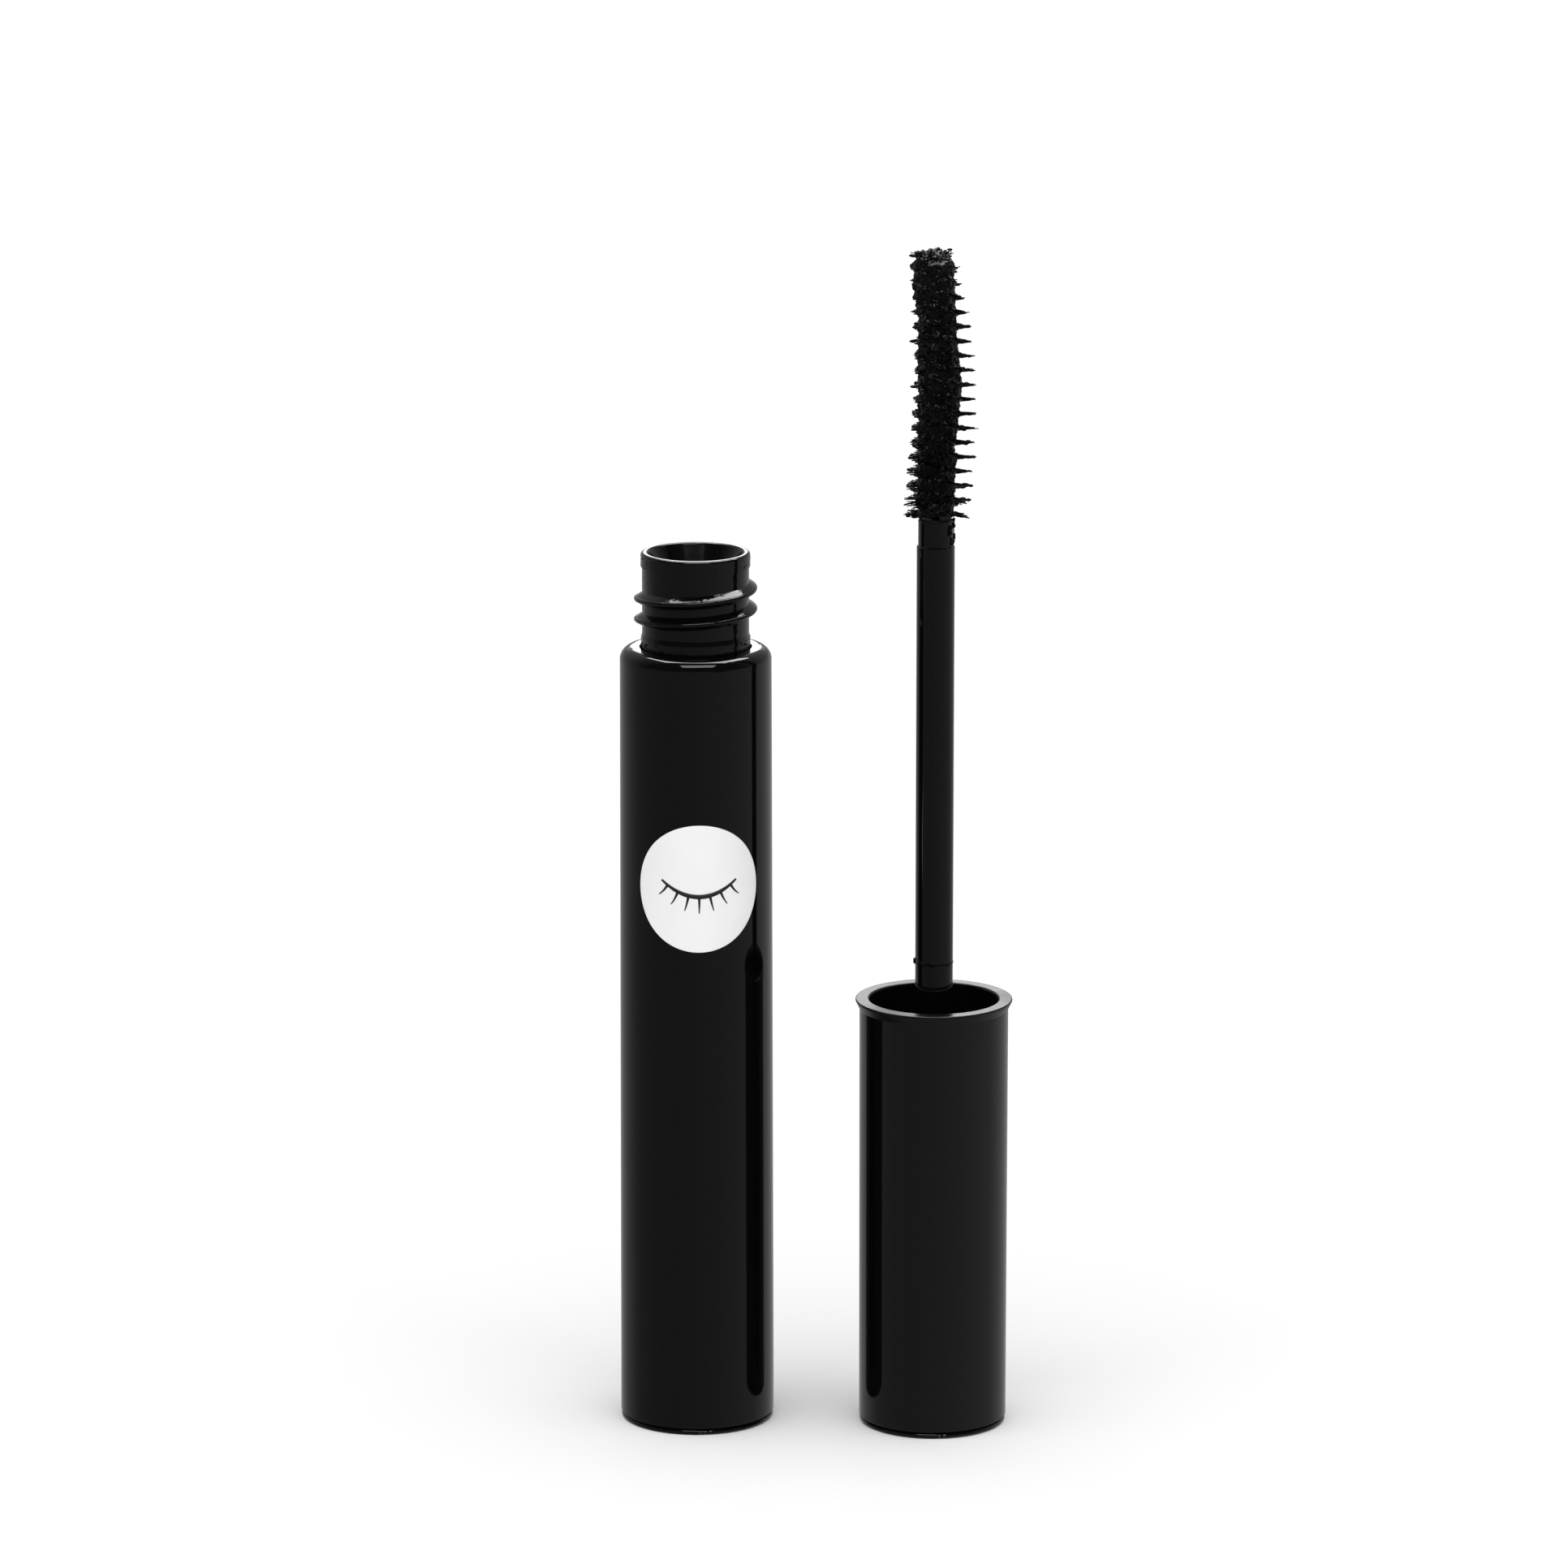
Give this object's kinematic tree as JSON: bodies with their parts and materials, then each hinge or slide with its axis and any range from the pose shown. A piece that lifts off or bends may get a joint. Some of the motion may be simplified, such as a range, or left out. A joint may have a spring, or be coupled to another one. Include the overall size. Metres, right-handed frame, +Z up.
{
  "type": "mascara tube",
  "caption": "Open mascara tube with threaded neck and wiper, and its screw cap standing upside down with wand and twisted-wire brush.",
  "frame": {"origin": "centre of the tube's base, on the surface that it stands on", "axes": "+Z up along the tube's axis, out of its open neck; +X from the tube towards the applicator that stands beside it; -Y is the front, where the round label faces"},
  "size_m": [0.0417, 0.0182, 0.1263],
  "materials": {
    "tube_gloss_black": "high gloss",
    "bottle_gloss_black": "gloss",
    "wiper_black": "satin, wet with mascara",
    "mascara": "wet paste",
    "label_white": "satin film",
    "cap_lacquer_black": "high gloss lacquer",
    "slug_steel": "turned",
    "inner_cap_gloss_black": "gloss",
    "liner_white": "foamed, matte",
    "stem_gloss_black": "gloss",
    "wire_steel": "drawn",
    "bristle_black": "coated in mascara"
  },
  "bodies": {
    "tube": {"tube_shell": "tube_gloss_black", "base_plug": "tube_gloss_black", "inner_bottle": "bottle_gloss_black", "wiper": "wiper_black", "mascara_fill": "mascara", "label_disc": "label_white"},
    "lift": {"cap_weight": "slug_steel"},
    "applicator": {"cap_shell": "cap_lacquer_black", "cap_end_plug": "cap_lacquer_black", "inner_cap": "inner_cap_gloss_black", "cap_liner": "liner_white", "stem": "stem_gloss_black", "wire_strand_a": "wire_steel", "wire_strand_b": "wire_steel", "bristle_row_01": "bristle_black", "bristle_row_02": "bristle_black", "bristle_row_03": "bristle_black", "bristle_row_04": "bristle_black", "bristle_row_05": "bristle_black", "bristle_row_06": "bristle_black", "bristle_row_07": "bristle_black", "bristle_row_08": "bristle_black", "bristle_row_09": "bristle_black", "bristle_row_10": "bristle_black", "bristle_row_11": "bristle_black", "bristle_row_12": "bristle_black", "bristle_row_13": "bristle_black", "bristle_row_14": "bristle_black", "bristle_row_15": "bristle_black", "bristle_row_16": "bristle_black", "bristle_row_17": "bristle_black", "bristle_row_18": "bristle_black"}
  },
  "joints": [
    {"name": "applicator_lift", "type": "slide", "parent": "tube", "child": "lift", "axis": [0, 0, 1], "range_m": [0, 0.092]},
    {"name": "cap_turn", "type": "hinge", "parent": "lift", "child": "applicator", "pos_m": [0.0252, -0.0017, 0.0127], "axis": [0, 0, -1], "range_deg": [0, 480]}
  ]
}
